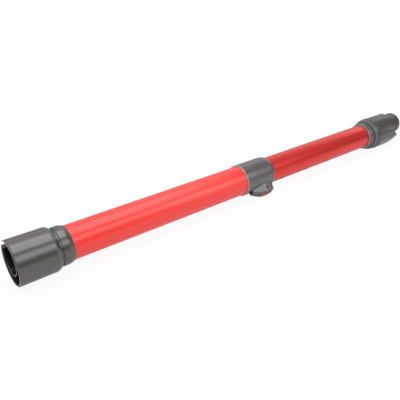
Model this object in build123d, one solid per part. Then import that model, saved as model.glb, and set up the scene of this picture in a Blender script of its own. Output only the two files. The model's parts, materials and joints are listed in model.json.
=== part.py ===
from build123d import *
import os

# Telescopic vacuum extension tube, fully extended, millimetres.
# The design frame has X along the tube from the socket mouth (0), the electrical side towards -Z
# and the catch side towards +Z. The finished pieces are rolled about X to lie as the tube rests.

# Tubes
tube_od = 40.0
tube_wall = 1.1
tube_play = 0.4
inner_wall = 1.0
tube_length = 286.0
inner_length = 318.0
inner_overlap = 40.0
tail_length = 6.0
tail_spigot = 8.0
tail_spigot_wall = 1.4
tail_groove_start = 1.4
tail_groove_width = 2.8
detent_count = 5
detent_pitch = 50.0
detent_r = 2.6

# Clearances
seat_gap = 0.1
slide_gap = 0.3
rocker_side_gap = 0.4
rocker_end_gap = 1.0

# Socket end
cup_r = 25.75
cup_back_r = 25.3
cup_wall = 2.3
cup_cavity = 30.0
socket_bulkhead = 10.0
tube_seat_length = 7.5
shoulder_drop = 4.5
cup_back_edge_wall = 2.3
rim_round = 1.2
shoulder_round = 6.0
edge_round = 0.6
notch_width = 13.8
notch_depth = 5.0
neck_wall = 2.25
neck_groove = 2.0
neck_groove_wall = 1.1
neck_length = 15.2
neck_bevel = 5.5
neck_bevel_round = 6.0
neck_lip = 0.4
sleeve_front = 1.0
sleeve_wall = 1.1
gasket_thick = 1.0
gasket_inset = 0.2

# Airway and electrical line, offsets across the tube
airway_inset = 2.5
airway_offset = 3.5
bore_r = 17.3
nose_offset = 4.54
plug_offset = 18.0
plug_width = 16.0
plug_height = 7.8
plug_wall = 1.1
plug_front = 13.5
plug_floor = 2.5
pin_r = 0.9
pin_spacing = 5.8
pin_front = 6.0
lead_r = 4.0
lead_gap = 0.4
grommet_r = 2.6
grommet_gap = 0.2
grommet_flange = 4.0

# Collar and lock
collar_overlap = 14.7
collar_length = 52.2
collar_wall = 1.5
collar_edge_round = 1.2
collar_end_slope = 3.6
collar_end_edge = 0.5
collar_end_round = 10.0
collar_lip = 5.0
seal_width = 3.5
bush_clear = 12.0
pod_front_inset = 6.2
pod_back_inset = 7.0
pod_half_width = 7.6
pod_draft = 12.0
pod_rise = 9.7
pod_crest_place = 33.2
pod_arc_r = 45.0
pod_tip_half = 2.2
pod_round = 2.2
pod_tip_round = 1.5
pod_cheek_round = 12.0
pod_heel_round = 6.5
button_front_inset = 13.0
button_back_inset = 3.2
button_half_width = 4.8
button_proud = 1.0
button_depth = 5.0
button_round = 1.2
lock_pin_lead = -1.0
lock_pin_depth = 6.1
lock_pin_r = 1.3
lock_pin_inset = 0.4
lock_eye_wall = 1.1
tooth_lead = 7.6
tooth_length = 3.6
tooth_width = 4.4
tooth_window_gap = 1.0
lock_spring_lead = 6.2
lock_spring_pocket = 2.0
lock_spring_r = 2.1
lock_spring_turns = 4
spring_wire = 0.45

# Machine end
entry_reach = 22.0
entry_length = 13.0
entry_flare = 8.0
entry_flare_round = 5.0
entry_lip_drop = 0.2
entry_wall = 1.1
entry_flare_wall = 2.9
ring_length = 13.5
ring_wall = 7.0
ring_back_wall = 4.8
ring_shoulder = 6.0
ring_shoulder_wall = 6.5
ring_round = 4.0
hood_offset = 5.7
hood_r = 19.6
hood_tip_r = 18.5
hood_length = 48.5
hood_taper = 17.0
hood_taper_round = 9.0
hood_round = 0.8
tab_length = 5.0
tab_back = 10.5
tab_half_width = 8.5
bulkhead_thick = 8.0
nose_r = 17.15
nose_seat_r = 15.6
nose_wall = 1.4
nose_length = 21.0
nose_gap = 0.6
nose_round = 1.2
nose_seal_place = 9.2
nose_seal_width = 3.0
nose_seal_depth = 0.9
nose_seal_recess = 0.4
prong_length = 56.0
prong_step = 3.0
prong_top = 14.5
prong_side_top = 8.0
prong_r = 26.0
prong_tip_r = 21.8
prong_tip_slope = 0.28
prong_root_half = 10.5
prong_tip_half = 8.0
prong_round = 4.0
prong_cheek_round = 10.0
prong_taper = 37.5
port_width = 10.0
port_height = 4.6
port_depth = 18.0
port_recess = 2.0
contact_recess = 0.5
contact_r = 1.4
contact_bore = 1.0
catch_reach = 8.5
catch_overhang = 2.0
catch_half_width = 5.5
catch_proud = 0.6
catch_thick = 2.4
catch_pin_lead = 6.5
catch_pin_r = 0.7
catch_pin_grip = 1.6
catch_eye_wall = 0.55
catch_eye_inset = 1.5
catch_back_round = 0.8
catch_front_round = 1.5
catch_well_drop = 1.5
catch_spring_lead = 3.0
catch_spring_r = 1.4
catch_spring_turns = 3

# Rest
rest_roll = 49.3

# Worked-out radii
tube_r = tube_od / 2
tube_bore = tube_r - tube_wall
inner_r = tube_bore - tube_play
inner_bore = inner_r - inner_wall
tube_seat_r = tube_r + seat_gap
inner_seat_r = inner_r + seat_gap
slide_bore = inner_r + slide_gap
cup_back_edge_r = tube_seat_r + cup_back_edge_wall
neck_r = tube_r + neck_wall
airway_r = inner_bore - airway_inset
tail_r = tube_bore - slide_gap
tail_spigot_r = inner_bore - seat_gap
tail_bore = tail_spigot_r - tail_spigot_wall
lead_offset = tail_bore - lead_gap - lead_r
grommet_offset = inner_bore - grommet_gap - grommet_r - seat_gap
collar_r = tube_seat_r + collar_wall
pod_crest = collar_r + pod_rise
entry_small_r = inner_seat_r + entry_wall
entry_big_r = inner_seat_r + entry_flare_wall
ring_r = inner_seat_r + ring_wall
ring_back_r = inner_seat_r + ring_back_wall
ring_shoulder_r = inner_seat_r + ring_shoulder_wall
lock_pin_z = pod_crest - lock_pin_depth
catch_crown_r = hood_tip_r + catch_proud
catch_pin_z = nose_offset + nose_seat_r + 2 * seat_gap + catch_eye_wall + catch_pin_r
catch_pin_length = 2 * (catch_half_width + catch_pin_grip)

# Worked-out places along X, from the socket mouth to the nose
tube_start = cup_cavity + socket_bulkhead
cup_length = tube_start + tube_seat_length
cup_shoulder = cup_length - shoulder_drop
sleeve_back = cup_cavity - gasket_thick
tube_end = tube_start + tube_length
collar_start = tube_end - collar_overlap
collar_end = collar_start + collar_length
collar_lip_x = collar_end - collar_lip
bush_start = tube_end + bush_clear
tooth_x = tube_end + tooth_lead
pod_tip = collar_start + pod_front_inset
pod_back = collar_end - pod_back_inset
pod_crest_x = collar_start + pod_crest_place
button_front = pod_tip + button_front_inset
button_back = pod_back - button_back_inset
lock_pin_x = pod_crest_x + lock_pin_lead
lock_spring_x = lock_pin_x + lock_spring_lead
inner_start = tube_end - inner_overlap
inner_end = inner_start + inner_length
tail_start = inner_start - tail_length
tail_groove_end = tail_start + tail_groove_start + tail_groove_width
entry_start = inner_end - entry_reach
ring_start = entry_start + entry_length
bulkhead_start = inner_end
bulkhead_end = bulkhead_start + bulkhead_thick
ring_end = ring_start + ring_length
hood_end = ring_end + hood_length
hood_taper_start = hood_end - hood_taper
tab_end = hood_end + tab_length
nose_shoulder = hood_end + nose_gap
nose_end = nose_shoulder + nose_length
nose_seal_x = nose_shoulder + nose_seal_place
prong_start = ring_end
prong_tip = prong_start + prong_length
prong_taper_start = prong_tip - prong_taper
catch_back = hood_end - catch_reach
catch_front = tab_end + catch_overhang
catch_pin_x = catch_back + catch_pin_lead
catch_spring_x = catch_back + catch_spring_lead


def turned(points, rounds=None):
    """A piece turned about the tube axis from an outline of (x, radius) points."""
    corners = rounds or [0] * len(points)
    outline = FilletPolyline(*points, radius=corners, close=True)
    return revolve(make_face(outline), axis=Axis.X)


def sleeve(start, end, outer, inner, z=0.0):
    """A plain tube along X whose axis lies at height z."""
    ring = turned([(start, inner), (end, inner), (end, outer), (start, outer)])
    return Pos(0, 0, z) * ring


def rod(start, end, radius, y=0.0, z=0.0):
    """A round bar along X."""
    return Pos((start + end) / 2, y, z) * Rot(Y=90) * Cylinder(radius, end - start)


def cross_pin(x, z, radius, length):
    """A round bar along Y, as a pivot pin lies."""
    return Pos(x, 0, z) * Rot(X=90) * Cylinder(radius, length)


def oval_bar(start, end, width, height, z):
    """A bar along X with a stadium section."""
    section = Plane.YZ * SlotOverall(width, height)
    return Pos(start, 0, z) * extrude(section, end - start)


def block(x0, x1, half_width, z0, z1):
    """A box between two planes along X and Z, centred across Y."""
    return Pos((x0 + x1) / 2, 0, (z0 + z1) / 2) * Box(x1 - x0, 2 * half_width, z1 - z0)


def upright(outline, z0, z1, draft=0.0):
    """A flat outline in X and Y raised from z0 to z1, widening by a draft angle."""
    return Pos(0, 0, z0) * extrude(make_face(outline), z1 - z0, taper=-draft)


def spring_coil(x, z0, z1, radius, turns):
    """A compression spring standing along Z."""
    pitch = (z1 - z0 - spring_wire) / turns
    path = Pos(x, 0, z0 + spring_wire / 2) * Helix(pitch, pitch * turns, radius)
    wire = Plane(path @ 0, z_dir=path % 0) * Circle(spring_wire / 2)
    return sweep(wire, path=path)


# Socket end

def socket_housing():
    """The wide moulded cup with its bulkhead and the seat of the outer tube."""
    shell = turned(
        [
            (0, cup_r - cup_wall), (cup_cavity, cup_r - cup_wall), (cup_cavity, 0), (tube_start, 0),
            (tube_start, tube_seat_r), (cup_length, tube_seat_r), (cup_length, cup_back_edge_r),
            (cup_shoulder, cup_back_r), (0, cup_r),
        ],
        [edge_round, 0, 0, 0, 0, 0, edge_round, shoulder_round, rim_round],
    )
    air_hole = rod(cup_cavity, tube_start, airway_r, z=airway_offset)
    lead_hole = rod(cup_cavity, tube_start, grommet_r + seat_gap, z=-grommet_offset)
    return shell - air_hole - lead_hole - rim_notch()


def rim_notch():
    """The cut in the rim that the catch of the mating tool drops into."""
    return block(-1, notch_depth, notch_width / 2, cup_r / 2, cup_r + 1)


def airway_sleeve():
    """The liner that the mating nose slides into."""
    return sleeve(sleeve_front, sleeve_back, bore_r + sleeve_wall, bore_r, nose_offset) - rim_notch()


def socket_gasket():
    """The flat ring that seals the liner against the bulkhead."""
    outer = bore_r + sleeve_wall
    return sleeve(sleeve_back, cup_cavity, outer, bore_r + gasket_inset, nose_offset)


def plug_places():
    return [-pin_spacing / 2, pin_spacing / 2]


def plug_shroud():
    """The oval shroud round the plug pins."""
    outside = oval_bar(plug_front, cup_cavity, plug_width, plug_height, -plug_offset)
    inner_width = plug_width - 2 * plug_wall
    inner_height = plug_height - 2 * plug_wall
    inside = oval_bar(plug_front, cup_cavity - plug_floor, inner_width, inner_height, -plug_offset)
    shroud = outside - inside
    for y in plug_places():
        shroud -= rod(plug_front, cup_cavity, pin_r + seat_gap, y, -plug_offset)
    return shroud


def plug_pins():
    """Two round-nosed contact pins."""
    pins = []
    for y in plug_places():
        pin = rod(pin_front, cup_cavity, pin_r, y, -plug_offset)
        tip = pin.edges().filter_by(GeomType.CIRCLE).sort_by(Axis.X)[0]
        pins.append(fillet(tip, pin_r * 0.6))
    return Compound(children=pins)


def socket_grommet():
    """The rubber bush that leads the cable through the socket's bulkhead."""
    stem = rod(cup_cavity, tube_start, grommet_r, z=-grommet_offset)
    flange = rod(tube_start, tube_start + grommet_flange, grommet_r + seat_gap, z=-grommet_offset)
    return stem + flange


def neck_sleeve():
    """The ring that clamps the outer tube behind the cup."""
    bore = tube_seat_r
    neck_end = cup_length + neck_length
    groove_end = cup_length + neck_groove
    groove_r = tube_r + neck_groove_wall
    return turned(
        [
            (cup_length, bore), (neck_end, bore), (neck_end, bore + neck_lip),
            (neck_end - neck_bevel, neck_r), (groove_end, neck_r), (groove_end, groove_r),
            (cup_length, groove_r),
        ],
        [0, 0, 0, neck_bevel_round, edge_round, 0, 0],
    )


def outer_tube():
    return sleeve(tube_start, tube_end, tube_r, tube_bore)


# Collar and lock

def collar():
    """The sleeve at the end of the outer tube, with a window for the lock tooth."""
    shell = turned(
        [
            (collar_start, tube_seat_r), (collar_lip_x, tube_seat_r), (collar_lip_x, slide_bore),
            (collar_end, slide_bore), (collar_end, slide_bore + collar_end_edge),
            (collar_end - collar_end_slope, collar_r), (collar_start, collar_r),
        ],
        [0, 0, 0, 0, 0, collar_end_round, collar_edge_round],
    )
    return shell - tooth_window()


def tooth_window():
    half_length = tooth_length / 2 + tooth_window_gap
    half_width = tooth_width / 2 + rocker_side_gap
    return block(tooth_x - half_length, tooth_x + half_length, half_width, -pod_crest, -inner_r / 2)


def wiper_seal():
    return sleeve(tube_end, tube_end + seal_width, tube_r, slide_bore)


def guide_bush():
    return sleeve(bush_start, collar_lip_x, tube_r, slide_bore)


def pod_plan():
    """The pod's shield outline: pointed towards the socket, round towards the machine end."""
    side = pod_half_width
    wide_x = pod_crest_x - pod_half_width / 2
    return FilletPolyline(
        (pod_tip, -pod_tip_half), (wide_x, -side), (pod_back, -side),
        (pod_back, side), (wide_x, side), (pod_tip, pod_tip_half),
        radius=[
            pod_tip_round, pod_cheek_round, pod_heel_round, pod_heel_round, pod_cheek_round, pod_tip_round,
        ],
        close=True,
    )


def crest_drum(rise=0.0):
    """A drum across the tube whose underside is the pod's crest line, raised outwards by rise."""
    return cross_pin(pod_crest_x, pod_arc_r - pod_crest, pod_arc_r + rise, 4 * pod_half_width)


def button_plan(gap):
    """The button's outline with a gap all round, longer at its ends than at its sides."""
    end_gap = gap * rocker_end_gap / rocker_side_gap
    x0 = button_front - end_gap
    x1 = button_back + end_gap
    half = button_half_width + gap
    return FilletPolyline(
        (x0, -half), (x1, -half), (x1, half), (x0, half),
        radius=[half * 0.75] * 4, close=True,
    )


def pod_housing():
    """The domed shield that carries the lock button, clipped on the collar."""
    saddle = rod(pod_tip - 5, pod_back + 5, collar_r + seat_gap / 2)
    body = crest_drum() & upright(pod_plan(), -pod_crest - 1, -collar_r / 2, pod_draft)
    body = body - saddle
    well = upright(button_plan(rocker_side_gap), -pod_crest - 2, -collar_r / 2)
    pin_hole = cross_pin(lock_pin_x, -lock_pin_z, lock_pin_r + seat_gap, 4 * pod_half_width)
    crest = body.faces().sort_by(Axis.Z)[0]
    body = fillet(crest.outer_wire().edges(), pod_round)
    return body - well - pin_hole


def lock_pin():
    return cross_pin(lock_pin_x, -lock_pin_z, lock_pin_r, 2 * (pod_half_width - lock_pin_inset))


def lock_button():
    """The red rocker: finger pad, pivot eye, spring pocket and lock tooth."""
    cap = crest_drum(button_proud) - crest_drum(button_proud - button_depth)
    cap = cap & upright(button_plan(0.0), -pod_crest - 2, 0)
    top = cap.faces().sort_by(Axis.Z)[0]
    cap = fillet(top.outer_wire().edges(), button_round)
    tooth_half = tooth_length / 2
    tooth_root = -pod_crest + button_depth
    tooth = block(tooth_x - tooth_half, tooth_x + tooth_half, tooth_width / 2, tooth_root, -slide_bore)
    eye = cross_pin(lock_pin_x, -lock_pin_z, lock_pin_r + lock_eye_wall, 2 * button_half_width)
    hole = cross_pin(lock_pin_x, -lock_pin_z, lock_pin_r + seat_gap, 4 * button_half_width)
    pocket_r = lock_spring_r + spring_wire
    pocket_depth = lock_spring_top() - collar_r
    pocket_z = -(lock_spring_top() + collar_r) / 2
    pocket = Pos(lock_spring_x, 0, pocket_z) * Cylinder(pocket_r, pocket_depth)
    return cap + tooth + eye - hole - pocket


def lock_spring_top():
    """Distance of the spring's upper end from the tube axis."""
    return pod_crest - button_depth + lock_spring_pocket


def lock_spring():
    seat = collar_r + seat_gap
    return Rot(X=180) * spring_coil(lock_spring_x, seat, lock_spring_top(), lock_spring_r, lock_spring_turns)


def coiled_lead():
    """The outer shape of the coiled cable that runs inside the tubes."""
    start = tube_start + grommet_flange
    end = bulkhead_start - grommet_flange
    return rod(start, end, lead_r, z=-lead_offset)


# Sliding tube and machine end

def detent_places():
    return [tooth_x + detent_pitch * step for step in range(detent_count)]


def inner_tube():
    tube = sleeve(inner_start, inner_end, inner_r, inner_bore)
    for x in detent_places():
        tube -= Pos(x, 0, -inner_r) * Cylinder(detent_r, 4 * inner_wall)
    return tube


def tail_bush():
    """The end bush that guides the sliding tube inside the outer tube."""
    spigot_end = inner_start + tail_spigot
    groove = tail_start + tail_groove_start
    return turned([
        (tail_start, tail_bore), (spigot_end, tail_bore), (spigot_end, tail_spigot_r),
        (inner_start, tail_spigot_r), (inner_start, tail_r), (tail_groove_end, tail_r),
        (tail_groove_end, tail_spigot_r),
        (groove, tail_spigot_r), (groove, tail_r), (tail_start, tail_r),
    ])


def tail_seal():
    """The felt ring in the tail bush's groove."""
    groove = tail_start + tail_groove_start
    return sleeve(groove + seat_gap, tail_groove_end - seat_gap, tail_r, inner_bore)


def entry_ring():
    """The flared lip where the sliding tube enters the machine end."""
    bore = inner_seat_r
    return turned(
        [
            (entry_start, bore), (ring_start, bore), (ring_start, entry_big_r),
            (entry_start + entry_flare, entry_big_r - entry_lip_drop), (entry_start, entry_small_r),
        ],
        [0, 0, 0, entry_flare_round, edge_round],
    )


def hood_shape(end, gap=0.0):
    """The tapered hood round the nose, on an axis of its own above the tube's."""
    outline = turned(
        [
            (bulkhead_start, 0), (end + gap, 0), (end + gap, hood_tip_r + gap),
            (hood_taper_start, hood_r + gap), (bulkhead_start, hood_r + gap),
        ],
        [0, 0, hood_round, hood_taper_round, 0],
    )
    return Pos(0, 0, hood_offset) * outline


def catch_tab():
    """The raised tab on the hood that holds the catch over the nose."""
    tab = hood_shape(tab_end) & block(hood_end - tab_back, tab_end, tab_half_width, nose_offset, 2 * ring_r)
    return tab - rod(hood_end - tab_back, tab_end, nose_r + nose_gap, z=nose_offset)


def machine_housing():
    """The ring of the machine end with the hood that stands on it."""
    ring = turned(
        [
            (ring_start, inner_seat_r), (bulkhead_start, inner_seat_r), (bulkhead_start, 0), (ring_end, 0),
            (ring_end, ring_r), (ring_start + ring_shoulder, ring_shoulder_r), (ring_start, ring_back_r),
        ],
        [0, 0, 0, 0, edge_round, ring_round, edge_round],
    )
    body = ring + hood_shape(hood_end) + catch_tab()
    body -= rod(bulkhead_start, bulkhead_end, airway_r, z=airway_offset)
    body -= rod(bulkhead_start, ring_end, grommet_r + seat_gap, z=-grommet_offset)
    body -= rod(bulkhead_end, hood_end, nose_seat_r + seat_gap, z=nose_offset)
    well_half = catch_half_width + rocker_side_gap
    well_floor = nose_offset + nose_seat_r - catch_well_drop
    body -= block(catch_back - rocker_side_gap, catch_front, well_half, well_floor, 2 * ring_r)
    body -= cross_pin(catch_pin_x, catch_pin_z, catch_pin_r + seat_gap, catch_pin_length + 2 * seat_gap)
    return body


def nose_tube():
    """The airway tube that ends in the nose."""
    bore = nose_seat_r - nose_wall
    groove_r = nose_r - nose_seal_depth
    seal_end = nose_seal_x + nose_seal_width
    tube = turned(
        [
            (bulkhead_end, bore), (nose_end, bore), (nose_end, nose_r), (seal_end, nose_r),
            (seal_end, groove_r), (nose_seal_x, groove_r), (nose_seal_x, nose_r),
            (nose_shoulder, nose_r), (nose_shoulder, nose_seat_r), (bulkhead_end, nose_seat_r),
        ],
        [edge_round, edge_round, nose_round, 0, 0, 0, 0, 0, 0, 0],
    )
    return Pos(0, 0, nose_offset) * tube


def nose_seal():
    groove_r = nose_r - nose_seal_depth
    return sleeve(
        nose_seal_x + seat_gap, nose_seal_x + nose_seal_width - seat_gap,
        nose_r - nose_seal_recess, groove_r, nose_offset,
    )


def prong_plan():
    """The electrical prong's outline seen from below."""
    root = prong_root_half
    tip = prong_tip_half
    return FilletPolyline(
        (prong_start, -root), (prong_taper_start, -root), (prong_tip, -tip),
        (prong_tip, tip), (prong_taper_start, root), (prong_start, root),
        radius=[0, prong_cheek_round, prong_round, prong_round, prong_cheek_round, 0],
        close=True,
    )


def port_housing():
    """The tapered prong under the nose, with its contact port."""
    skin = make_face(
        [
            Line((prong_start, 0), (prong_start, prong_r)),
            Line((prong_start, prong_r), (prong_taper_start, prong_r)),
            Spline(
                (prong_taper_start, prong_r), (prong_tip, prong_tip_r),
                tangents=[(1, 0), (1, -prong_tip_slope)],
            ),
            Line((prong_tip, prong_tip_r), (prong_tip, 0)),
            Line((prong_tip, 0), (prong_start, 0)),
        ]
    )
    body = revolve(skin, axis=Axis.X) & upright(prong_plan(), -2 * prong_r, -prong_side_top)
    body -= hood_shape(hood_end, seat_gap)
    body -= block(hood_end - prong_step, prong_tip + 1, 2 * prong_root_half, -prong_top, 0)
    return body - oval_bar(prong_tip - port_depth, prong_tip + 1, port_width, port_height, -plug_offset)


def port_insert():
    """The black contact carrier inside the port."""
    start = prong_tip - port_depth
    end = prong_tip - port_recess
    gap = 2 * seat_gap
    carrier = oval_bar(start, end, port_width - gap, port_height - gap, -plug_offset)
    for y in plug_places():
        carrier -= rod(start, end, contact_r + seat_gap, y, -plug_offset)
    return carrier


def port_contacts():
    """Two tubular contacts for the mating pins."""
    start = prong_tip - port_depth
    end = prong_tip - port_recess - contact_recess
    contacts = [
        Pos(0, y, 0) * sleeve(start, end, contact_r, contact_bore, -plug_offset)
        for y in plug_places()
    ]
    return Compound(children=contacts)


def machine_grommet():
    """The rubber bush that leads the cable into the machine end."""
    return rod(bulkhead_start - grommet_flange, ring_end, grommet_r, z=-grommet_offset)


def catch_plan():
    """The release catch's outline seen from above."""
    half = catch_half_width
    return FilletPolyline(
        (catch_back, -half), (catch_front, -half), (catch_front, half), (catch_back, half),
        radius=[catch_back_round, catch_front_round, catch_front_round, catch_back_round], close=True,
    )


def release_button():
    """The red release catch on top of the hood, bent to the hood's curve."""
    arch = sleeve(catch_back, catch_front, catch_crown_r, catch_crown_r - catch_thick, hood_offset)
    body = arch & upright(catch_plan(), 0, 2 * ring_r)
    eye_length = 2 * (catch_half_width - catch_eye_inset)
    eye = cross_pin(catch_pin_x, catch_pin_z, catch_pin_r + catch_eye_wall, eye_length)
    hole = cross_pin(catch_pin_x, catch_pin_z, catch_pin_r + seat_gap, catch_pin_length)
    return body + eye - hole


def release_pin():
    return cross_pin(catch_pin_x, catch_pin_z, catch_pin_r, catch_pin_length)


def release_spring():
    low = nose_offset + nose_seat_r + seat_gap
    high = hood_offset + catch_crown_r - catch_thick - seat_gap
    return spring_coil(catch_spring_x, low, high, catch_spring_r, catch_spring_turns)


makers = [
    socket_housing, airway_sleeve, socket_gasket, plug_shroud, plug_pins, socket_grommet, neck_sleeve,
    outer_tube, collar, wiper_seal, guide_bush, pod_housing, lock_pin, lock_button, lock_spring,
    coiled_lead, inner_tube, tail_bush, tail_seal, entry_ring, machine_housing, nose_tube, nose_seal,
    port_housing, port_insert, port_contacts, machine_grommet, release_button, release_pin,
    release_spring,
]

rolled = {make.__name__: Rot(X=-rest_roll) * make() for make in makers}
reach = Compound(children=[Compound(p.wrapped) for p in rolled.values()]).bounding_box()
origin = Vector((reach.min.X + reach.max.X) / 2, (reach.min.Y + reach.max.Y) / 2, reach.min.Z)

os.makedirs("parts", exist_ok=True)
for node, shape in rolled.items():
    export_step(Pos(-origin.X, -origin.Y, -origin.Z) * shape, f"parts/{node}.step")
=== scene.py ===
import json
import math

import bmesh
import bpy
from mathutils import Matrix, Vector


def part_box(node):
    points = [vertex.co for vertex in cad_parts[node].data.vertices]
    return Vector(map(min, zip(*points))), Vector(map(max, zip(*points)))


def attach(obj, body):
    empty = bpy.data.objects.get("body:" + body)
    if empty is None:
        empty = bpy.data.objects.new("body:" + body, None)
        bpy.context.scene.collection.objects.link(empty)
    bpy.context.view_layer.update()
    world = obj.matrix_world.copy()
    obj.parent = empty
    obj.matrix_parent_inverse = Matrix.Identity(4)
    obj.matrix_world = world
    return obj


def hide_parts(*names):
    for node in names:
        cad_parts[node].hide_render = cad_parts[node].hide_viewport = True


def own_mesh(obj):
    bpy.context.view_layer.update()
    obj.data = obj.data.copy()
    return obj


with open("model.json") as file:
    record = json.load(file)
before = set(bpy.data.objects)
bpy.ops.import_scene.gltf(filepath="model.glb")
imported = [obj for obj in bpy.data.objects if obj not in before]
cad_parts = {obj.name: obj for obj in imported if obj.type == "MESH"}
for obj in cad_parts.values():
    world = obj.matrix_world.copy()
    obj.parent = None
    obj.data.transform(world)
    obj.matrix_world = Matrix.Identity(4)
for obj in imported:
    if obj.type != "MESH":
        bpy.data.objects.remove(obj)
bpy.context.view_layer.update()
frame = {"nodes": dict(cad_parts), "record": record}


# Camera
# A 44 mm lens a little over half a metre from the socket mouth, looking down along the tube
# towards its machine end, as a small object is photographed on a table.
def corners(node):
    """The low and the high corner of a CAD node's box."""
    return [Vector(corner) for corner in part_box(node)]


mouth_low, mouth_high = corners("socket_housing")
tube_low, tube_high = corners("outer_tube")
axis_y = (tube_low.y + tube_high.y) / 2
axis_z = (tube_low.z + tube_high.z) / 2
mouth = Vector((mouth_low.x, axis_y, axis_z))
camera_from_mouth = Vector((-0.0997, -0.43975, 0.2931))
camera_heading = Vector((0.54384, 0.69274, -0.47367))

camera_data = bpy.data.cameras.new("camera")
camera_data.lens = 44.03
camera_data.sensor_width = 36.0
camera_data.clip_start = 0.01
camera = bpy.data.objects.new("camera", camera_data)
camera.location = mouth + camera_from_mouth
camera.rotation_euler = camera_heading.to_track_quat("-Z", "Y").to_euler()
bpy.context.collection.objects.link(camera)
bpy.context.scene.camera = camera
bpy.context.scene.view_settings.view_transform = "Standard"


# Studio
# A white sweep lit by two long soft boxes beside the tube, one overhead and one in front, with a
# white wall behind. Two small boxes are mirrored in the outer tube and in the top of the hood.
class Wire:
    """A shader socket that takes part in sums as a number does."""

    def __init__(self, tree, socket=None):
        self.tree = tree
        self.socket = socket

    def add_node(self, kind, settings=None, sockets=None, output=0):
        """Add a node, set it up, feed its sockets and give back one of its outputs."""
        node = self.tree.nodes.new(kind)
        for name, value in (settings or {}).items():
            setattr(node, name, value)
        for name, value in (sockets or {}).items():
            self.feed(node.inputs[name], value)
        if not node.outputs:
            return None
        return Wire(self.tree, node.outputs[output])

    def feed(self, target, value):
        """Link a wire to a socket, or set the socket to a plain value."""
        if isinstance(value, Wire):
            self.tree.links.new(value.socket, target)
        else:
            target.default_value = value

    def sum_with(self, operation, first, second):
        return self.add_node("ShaderNodeMath", {"operation": operation}, {0: first, 1: second})

    def __add__(self, other):
        return self.sum_with("ADD", self, other)

    def __mul__(self, other):
        return self.sum_with("MULTIPLY", self, other)

    __radd__ = __add__
    __rmul__ = __mul__


def clear_tree(tree):
    """Empty a node tree and give back a wire to start from."""
    tree.nodes.clear()
    return Wire(tree)


def ray_is(start, *kinds):
    """One where the ray is of one of these kinds, and nought elsewhere."""
    total = 0.0
    for kind in kinds:
        total = start.add_node("ShaderNodeLightPath", output=kind) + total
    return start.sum_with("MINIMUM", total, 1.0)


white = (1, 1, 1, 1)
room_light = 0.2
world = bpy.data.worlds.new("studio")
bpy.context.scene.world = world
world.use_nodes = True
sky = clear_tree(world.node_tree)
seen = ray_is(sky, "Is Camera Ray", "Is Transmission Ray")
sky_strength = seen * (1 - room_light) + room_light
sky_light = sky.add_node("ShaderNodeBackground", sockets={"Color": white, "Strength": sky_strength})
sky.add_node("ShaderNodeOutputWorld", sockets={"Surface": sky_light})

floor_size = 8.0
floor_mesh = bmesh.new()
bmesh.ops.create_grid(floor_mesh, x_segments=1, y_segments=1, size=floor_size / 2)
floor_data = bpy.data.meshes.new("floor")
floor_mesh.to_mesh(floor_data)
floor_mesh.free()
floor = bpy.data.objects.new("floor", floor_data)
bpy.context.collection.objects.link(floor)


def from_point(start, point):
    """The way from a point to the place on the surface."""
    where = start.add_node("ShaderNodeTexCoord", output="Object")
    return start.add_node("ShaderNodeVectorMath", {"operation": "SUBTRACT"}, {0: where, 1: point})


def length_of(start, vector):
    return start.add_node("ShaderNodeVectorMath", {"operation": "LENGTH"}, {0: vector}, output="Value")


def ramp(start, value, low, high):
    """Nought at a low value, changing to one at a high value."""
    return start.add_node("ShaderNodeMapRange", sockets={"Value": value, "From Min": low, "From Max": high})


paper_grey = (0.8, 0.8, 0.8, 1)
paper_glow = 0.92
mirrored_glow = 0.45
shadow_reach = 0.45
white_from = 1.4
paper = bpy.data.materials.new("white_paper")
paper.use_nodes = True
sheet = clear_tree(paper.node_tree)
lit_paper = sheet.add_node("ShaderNodeBsdfDiffuse", sockets={"Color": paper_grey})
white_paper = sheet.add_node("ShaderNodeEmission", sockets={"Color": white, "Strength": 1.0})
from_middle = length_of(sheet, from_point(sheet, (0, 0, 0)))
glow = ramp(sheet, from_middle, shadow_reach, white_from) * (1 - paper_glow) + paper_glow
shown = ray_is(sheet, "Is Camera Ray", "Is Transmission Ray") * glow
shown = shown + ray_is(sheet, "Is Glossy Ray") * mirrored_glow
paper_mix = sheet.add_node("ShaderNodeMixShader", sockets={0: shown, 1: lit_paper, 2: white_paper})
sheet.add_node("ShaderNodeOutputMaterial", sockets={"Surface": paper_mix})
floor_data.materials.append(paper)


def soft_box(name, elevation, distance, width, length, power, along=0.0):
    """A soft box beside the tube, aimed at its axis, at an angle above the front horizon."""
    rise = math.radians(elevation)
    away = Vector((0, -math.cos(rise), math.sin(rise)))
    data = bpy.data.lights.new(name, "AREA")
    data.shape = "RECTANGLE"
    data.size = length
    data.size_y = width
    data.energy = power
    box = bpy.data.objects.new(name, data)
    box.location = Vector((along, axis_y, axis_z)) + away * distance
    box.rotation_euler = (-away).to_track_quat("-Z", "Y").to_euler()
    bpy.context.collection.objects.link(box)


soft_box("overhead_box", elevation=94.5, distance=1.1, width=0.94, length=1.6, power=13.5, along=-0.15)
soft_box("front_box", elevation=42, distance=1.2, width=0.6, length=1.8, power=8)
soft_box("middle_box", elevation=34, distance=1.2, width=1.3, length=0.26, power=2.6, along=0.74)
soft_box("back_wall", elevation=140, distance=1.6, width=1.5, length=5.0, power=18, along=1.0)
soft_box("far_box", elevation=108, distance=1.6, width=1.2, length=1.0, power=11, along=2.9)


# Red tubes
# Two drawn aluminium tubes in red satin lacquer over a fine lengthwise grain, left bare inside. The
# outer tube is clamped in the socket end, and the darker one slides in the collar.
def new_finish(name):
    """A material with an empty tree of its own, ready to be filled."""
    material = bpy.data.materials.new(name)
    material.use_nodes = True
    return material, clear_tree(material.node_tree)


def close_finish(start, sockets):
    """End a material's tree with one shader."""
    surface = start.add_node("ShaderNodeBsdfPrincipled", sockets=sockets)
    start.add_node("ShaderNodeOutputMaterial", sockets={"Surface": surface})


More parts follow.
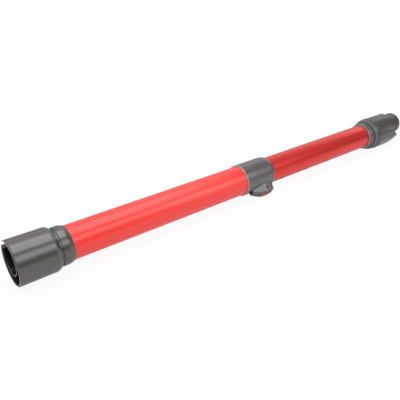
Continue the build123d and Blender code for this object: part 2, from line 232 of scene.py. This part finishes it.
def noise(start, scale, detail=3.0):
    """Noise in the object's own metres, with a number of blotches per metre for each axis."""
    where = start.add_node("ShaderNodeTexCoord", output="Object")
    place = start.add_node("ShaderNodeMapping", sockets={"Vector": where, "Scale": scale})
    return start.add_node("ShaderNodeTexNoise", sockets={"Vector": place, "Scale": 1.0, "Detail": detail})


def blend_colour(start, amount, low, high):
    """A colour between two, by an amount from nought to one."""
    colours = {"Factor": amount, 6: low, 7: high}
    return start.add_node("ShaderNodeMix", {"data_type": "RGBA"}, colours, output=2)


def bump(start, height, strength, depth):
    relief = {"Strength": strength, "Distance": depth, "Height": height}
    return start.add_node("ShaderNodeBump", sockets=relief)


def hollow_of(start, axis_point, radius):
    """One in the hollow of a round piece that lies along the tube, and nought on its outside."""
    edge_blur = 0.0002
    apart = {0: from_point(start, axis_point), 1: (0, 1, 1)}
    across = start.add_node("ShaderNodeVectorMath", {"operation": "MULTIPLY"}, apart)
    return ramp(start, length_of(start, across), radius + edge_blur, radius - edge_blur)


def red_lacquer(name, node, low, high, roughness, metal, shine):
    """Red lacquer on the outside of a tube, with bare metal inside its wall."""
    bare_aluminium = (0.42, 0.42, 0.43, 1)
    skin_depth = 0.0005
    material, start = new_finish(name)
    grain = noise(start, (18, 900, 900))
    cloud = noise(start, (14, 30, 30))
    streak = noise(start, (3, 260, 260))
    low_corner, high_corner = corners(node)
    skin = (high_corner.z - low_corner.z) / 2 - skin_depth
    bare = hollow_of(start, mouth, skin)
    lacquer = blend_colour(start, streak, low, high)
    close_finish(start, {
        "Base Color": blend_colour(start, bare, lacquer, bare_aluminium),
        "Metallic": bare * (1 - metal) + metal,
        "Specular IOR Level": shine,
        "Roughness": grain * 0.1 + cloud * 0.06 + (roughness - 0.08),
        "Normal": bump(start, grain, 0.05, 0.0002),
    })
    return material


def dress(material, slot, *nodes):
    """Give CAD nodes a finish in place of the one that they came with."""
    for node in nodes:
        piece = frame["nodes"][node]
        piece.data.materials.clear()
        piece.data.materials.append(material)


outer_low = (0.68, 0.026, 0.018, 1)
outer_high = (0.88, 0.046, 0.034, 1)
outer_red = red_lacquer(
    "outer_red_lacquer", "outer_tube", outer_low, outer_high, roughness=0.27, metal=0.0, shine=0.5
)
dress(outer_red, "red_aluminium", "outer_tube")
inner_low = (0.56, 0.026, 0.023, 1)
inner_high = (0.74, 0.040, 0.035, 1)
inner_red = red_lacquer(
    "inner_red_lacquer", "inner_tube", inner_low, inner_high, roughness=0.32, metal=0.6, shine=0.5
)
dress(inner_red, "red_aluminium", "inner_tube")


# Socket end
# The cup, the liner in its mouth and the neck that clamps the outer tube are moulded in dark grey
# plastic with a satin skin and a fine spark texture. The hollows of the cup and of the liner are painted
# black as painted shade.
def moulded_plastic(name, low, high, roughness, shine=1.0, tint=None):
    """Plastic with the mould's fine texture, and a tint painted over part of the piece, which here paints
    shade or highlights.
    """
    material, start = new_finish(name)
    skin = noise(start, (2600, 2600, 2600), detail=2.0)
    flow = noise(start, (25, 60, 60))
    colour = blend_colour(start, flow, low, high)
    if tint:
        colour = tint(start, colour)
    close_finish(start, {
        "Base Color": colour,
        "Specular IOR Level": shine,
        "Roughness": skin * 0.08 + flow * 0.06 + (roughness - 0.07),
        "Normal": bump(start, skin, 0.10, 0.0001),
    })
    return material


def painted_shade_inside(axis_point, radius):
    """A tint that paints the hollow of a round piece black: painted shade in the hollow."""
    hollow_shade_black = (0.004, 0.004, 0.004, 1)

    def tint(start, colour):
        hollow = hollow_of(start, axis_point, radius)
        return blend_colour(start, hollow, colour, hollow_shade_black)
    return tint


grey_low = (0.040, 0.0355, 0.035, 1)
grey_high = (0.049, 0.0435, 0.043, 1)
cup_wall = 0.0023
cup_bore = (mouth_high.z - mouth_low.z) / 2 - cup_wall
# The black inside the cup and the liner is painted shade.
cup_inside_shade = painted_shade_inside(mouth, cup_bore)
cup_plastic = moulded_plastic("cup_moulding", grey_low, grey_high, 0.26, tint=cup_inside_shade)
dress(cup_plastic, "grey_plastic", "socket_housing")

liner_low, liner_high = corners("airway_sleeve")
liner_wall = 0.0009
liner_bore = (liner_high.z - liner_low.z) / 2 - liner_wall
liner_inside_shade = painted_shade_inside((liner_low + liner_high) / 2, liner_bore)
liner_plastic = moulded_plastic("liner_moulding", grey_low, grey_high, 0.26, tint=liner_inside_shade)
dress(liner_plastic, "grey_plastic", "airway_sleeve")

neck_grey = moulded_plastic("neck_moulding", grey_low, grey_high, 0.26)
dress(neck_grey, "grey_plastic", "neck_sleeve")


# Collar and machine end
# The collar sits on the end of the outer tube and carries the pod of the lock. The entry ring, the
# hood with its ring and the nose are moulded in like grey plastic. Pale bands on the edges that face
# the socket are painted highlights.
def depth_along(start, point, direction):
    """How far the place on the surface lies past a point in a direction."""
    inputs = {0: from_point(start, point), 1: direction}
    return start.add_node("ShaderNodeVectorMath", {"operation": "DOT_PRODUCT"}, inputs, output="Value")


def painted_highlight_edge(node, width, pale):
    """A tint that paints a pale band at the end of a node that faces the socket: a painted highlight on its
    edge.
    """
    edge_wobble_depth = 0.0008
    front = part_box(node)[0][0]

    def tint(start, colour):
        depth = depth_along(start, (front, 0, 0), (1, 0, 0))
        edge_wobble = noise(start, (700, 700, 700)) * edge_wobble_depth
        highlit = ramp(start, depth + edge_wobble, width, width / 2)
        return blend_colour(start, highlit, colour, pale)
    return tint


collar_low = (0.058, 0.0525, 0.0535, 1)
collar_high = (0.068, 0.0615, 0.0625, 1)
pod_grey = moulded_plastic("pod_moulding", collar_low, collar_high, 0.28)
dress(pod_grey, "grey_plastic", "pod_housing")
# The pale edge bands on the collar, the entry ring and the ring of the machine end are painted highlights.
collar_highlight = painted_highlight_edge("collar", width=0.0019, pale=(0.30, 0.28, 0.28, 1))
collar_grey = moulded_plastic("collar_moulding", collar_low, collar_high, 0.28, tint=collar_highlight)
dress(collar_grey, "grey_plastic", "collar")

entry_highlight = painted_highlight_edge("entry_ring", width=0.0030, pale=(0.16, 0.15, 0.15, 1))
entry_grey = moulded_plastic("entry_moulding", collar_low, collar_high, 0.34, shine=0.8, tint=entry_highlight)
dress(entry_grey, "grey_plastic", "entry_ring")
ring_highlight = painted_highlight_edge("machine_housing", width=0.0036, pale=(0.12, 0.11, 0.11, 1))
ring_grey = moulded_plastic("ring_moulding", grey_low, grey_high, 0.42, shine=0.65, tint=ring_highlight)
dress(ring_grey, "grey_plastic", "machine_housing")
nose_grey = moulded_plastic("nose_moulding", grey_low, grey_high, 0.42, shine=0.65)
dress(nose_grey, "grey_plastic", "nose_tube")


# Electrical prong
# The prong under the nose is moulded in a lighter grey and fixed to the ring of the machine end.
# It is painted darker towards its root line, where it tucks under the hood: painted shade.
joints = {joint["name"]: joint for joint in frame["record"]["behaviour"]["joints"]}
rocker_axis = Vector(joints["lock_press"]["axis"])
lobe = Vector((0, -rocker_axis.z, rocker_axis.y))
root_depth = 0.0095
belly_depth = 0.0145


def painted_shade_under_hood(start, colour):
    """A tint of painted shade, from dark grey at the hood to the prong's own grey at its belly."""
    belly = ramp(start, depth_along(start, mouth, lobe), root_depth, belly_depth)
    return blend_colour(start, belly, grey_low, colour)


prong_low = (0.105, 0.101, 0.103, 1)
prong_high = (0.125, 0.120, 0.122, 1)
# The prong's darker band at its root is painted shade under the hood.
prong_plastic = moulded_plastic("prong_moulding", prong_low, prong_high, 0.34, shine=0.6, tint=painted_shade_under_hood)
dress(prong_plastic, "light_grey_plastic", "port_housing")


# Black inner parts
# The plug's shroud, the bushes that the tubes slide in and the contact carrier are black plastic.
# The gasket, grommets, wiper and seals are soft black rubber, which is duller.
black_plastic = moulded_plastic("black_moulding", (0.010, 0.010, 0.010, 1), (0.016, 0.016, 0.016, 1), 0.42)
dress(black_plastic, "black_plastic", "plug_shroud", "guide_bush", "tail_bush", "port_insert")
black_rubber = moulded_plastic("black_rubber", (0.012, 0.012, 0.012, 1), (0.020, 0.019, 0.019, 1), 0.72)
dress(
    black_rubber, "black_rubber", "socket_gasket", "socket_grommet", "machine_grommet", "wiper_seal",
    "tail_seal", "nose_seal",
)


# Red buttons
# The lock button in the pod and the release catch on the hood are moulded in clear dark red with a
# polished face, so they look darker than the tubes and shine more.
button_low = (0.24, 0.004, 0.014, 1)
button_high = (0.30, 0.006, 0.020, 1)
red_plastic = moulded_plastic("red_button_gloss", button_low, button_high, 0.2, shine=0.5)
dress(red_plastic, "red_plastic", "lock_button", "release_button")


# Catch ribs
# Three low ribs across the nose end of the release catch give the thumb a grip. They are moulded in
# one with the catch, in the same red plastic, and rock with it.
def add_piece(name, mesh, material, body, smooth):
    """Turn a finished bmesh into a dressed piece on its body."""
    bmesh.ops.recalc_face_normals(mesh, faces=mesh.faces)
    data = bpy.data.meshes.new(name)
    mesh.to_mesh(data)
    mesh.free()
    if smooth:
        data.shade_smooth()
    data.materials.append(material)
    piece = bpy.data.objects.new(name, data)
    bpy.context.collection.objects.link(piece)
    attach(piece, body)
    return piece


catch_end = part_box("release_button")[1][0]
catch_turn = Matrix((Vector((1, 0, 0)), -rocker_axis, -lobe)).transposed()
rib_count = 3
rib_size = Vector((0.0013, 0.0080, 0.0016))
rib_round = 0.0004
rib_from_axis = 0.0245
rib_from_end = 0.0016
rib_pitch = 0.0024
rib_shape = (catch_turn @ Matrix.Diagonal(rib_size)).to_4x4()
rib_mesh = bmesh.new()
for number in range(rib_count):
    rib_x = catch_end - rib_from_end - number * rib_pitch
    rib_place = Vector((rib_x, axis_y, axis_z)) - lobe * rib_from_axis
    bmesh.ops.create_cube(rib_mesh, size=1.0, matrix=Matrix.Translation(rib_place) @ rib_shape)
bmesh.ops.bevel(
    rib_mesh, geom=rib_mesh.edges[:], offset=rib_round, affect="EDGES", segments=2, profile=0.5, material=-1
)
add_piece("catch_ribs", rib_mesh, red_plastic, "release", smooth=False)


# Pins and contacts
# The two pivot pins are drawn steel, pressed into the pod and the hood. The plug pins and the
# contacts in the prong are turned brass, with fine rings left by the tool.
def bare_metal(name, low, high, roughness, grain_scale):
    """Metal with tool marks and a little tarnish."""
    material, start = new_finish(name)
    grain = noise(start, grain_scale)
    tarnish = noise(start, (400, 400, 400))
    close_finish(start, {
        "Base Color": blend_colour(start, tarnish, low, high),
        "Metallic": 1.0,
        "Roughness": grain * 0.12 + tarnish * 0.1 + (roughness - 0.11),
        "Normal": bump(start, grain, 0.08, 0.00005),
    })
    return material


steel = bare_metal("drawn_steel", (0.50, 0.50, 0.51, 1), (0.60, 0.60, 0.60, 1), 0.28, (9000, 600, 600))
dress(steel, "steel", "lock_pin", "release_pin")
brass = bare_metal("turned_brass", (0.70, 0.52, 0.22, 1), (0.80, 0.62, 0.30, 1), 0.22, (9000, 300, 300))
dress(brass, "brass", "plug_pins", "port_contacts")


# Springs
# A small wire spring under the lock button stands on the collar, and another under the release catch
# stands on the nose tube. Each is wound from steel wire.
def wound(start, along, length, radius, wire_radius, turns, steps=16, sides=8):
    """A wire wound in turns about an axis, with closed ends."""
    out = along.orthogonal().normalized()
    across = along.cross(out)
    section = Matrix((out, along, across)).transposed().to_4x4()
    section.translation = start + out * radius
    mesh = bmesh.new()
    ring = bmesh.ops.create_circle(mesh, segments=sides, radius=wire_radius, matrix=section)["verts"]
    edges = list({edge for vert in ring for edge in vert.link_edges})
    count = turns * steps
    bmesh.ops.spin(
        mesh, geom=ring + edges, cent=start, axis=along, dvec=along * (length / count),
        angle=2 * math.pi * turns, steps=count, use_duplicate=False,
    )
    open_edges = [edge for edge in mesh.edges if edge.is_boundary]
    bmesh.ops.holes_fill(mesh, edges=open_edges, sides=sides)
    return mesh


spring_wire_radius = 0.000225


def rocker_spring(name, node, joint_name, along, turns, body):
    """A spring wound in the place of its CAD node, which is hidden."""
    low, high = corners(node)
    size = high - low
    height = (size.y - size.x * abs(along.z)) / abs(along.y)
    foot = (low + high) / 2 - along * (height / 2)
    rise = height - 2 * spring_wire_radius
    radius = size.x / 2 - spring_wire_radius
    start = foot + along * spring_wire_radius
    coil = wound(start, along, rise, radius, spring_wire_radius, turns)
    piece = add_piece(name, coil, steel, body, smooth=True)
    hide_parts(node)
    joint = joints[joint_name]
    lever = abs(joint["pos_m"][0] - foot.x)
    press = lever * math.sin(math.radians(joint["range_deg"][1]))
    1 - press / height
    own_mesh(piece)


rocker_spring("lock_spring_wire", "lock_spring", "lock_press", lobe, 4, "outer")
rocker_spring("release_spring_wire", "release_spring", "release_press", -lobe, 3, "inner")


# Coiled cable
# The power lead between the two ends is a curly cable in a black jacket, wound in one long coil
# inside the tubes.
jacket = moulded_plastic("cable_jacket", (0.012, 0.012, 0.012, 1), (0.020, 0.020, 0.020, 1), 0.45)
lead_low, lead_high = corners("coiled_lead")
lead_size = lead_high - lead_low
lead_middle = (lead_low + lead_high) / 2
cable_radius = 0.00115
cable_room = 1.1
cable_pitch = 0.0038
lead_start = Vector((lead_low.x + cable_radius, lead_middle.y, lead_middle.z))
lead_length = lead_size.x - 2 * cable_radius
coil_radius = lead_size.z / 2 - cable_room * cable_radius
cable_turns = round(lead_length / cable_pitch)
cable_coil = wound(
    lead_start, Vector((1, 0, 0)), lead_length, coil_radius, cable_radius, cable_turns, steps=12, sides=6
)
cable = add_piece("curly_cable", cable_coil, jacket, "outer", smooth=True)
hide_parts("coiled_lead")
slide = abs(joints["tube_slide"]["range_m"][0])
1 - slide / lead_size.x
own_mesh(cable)
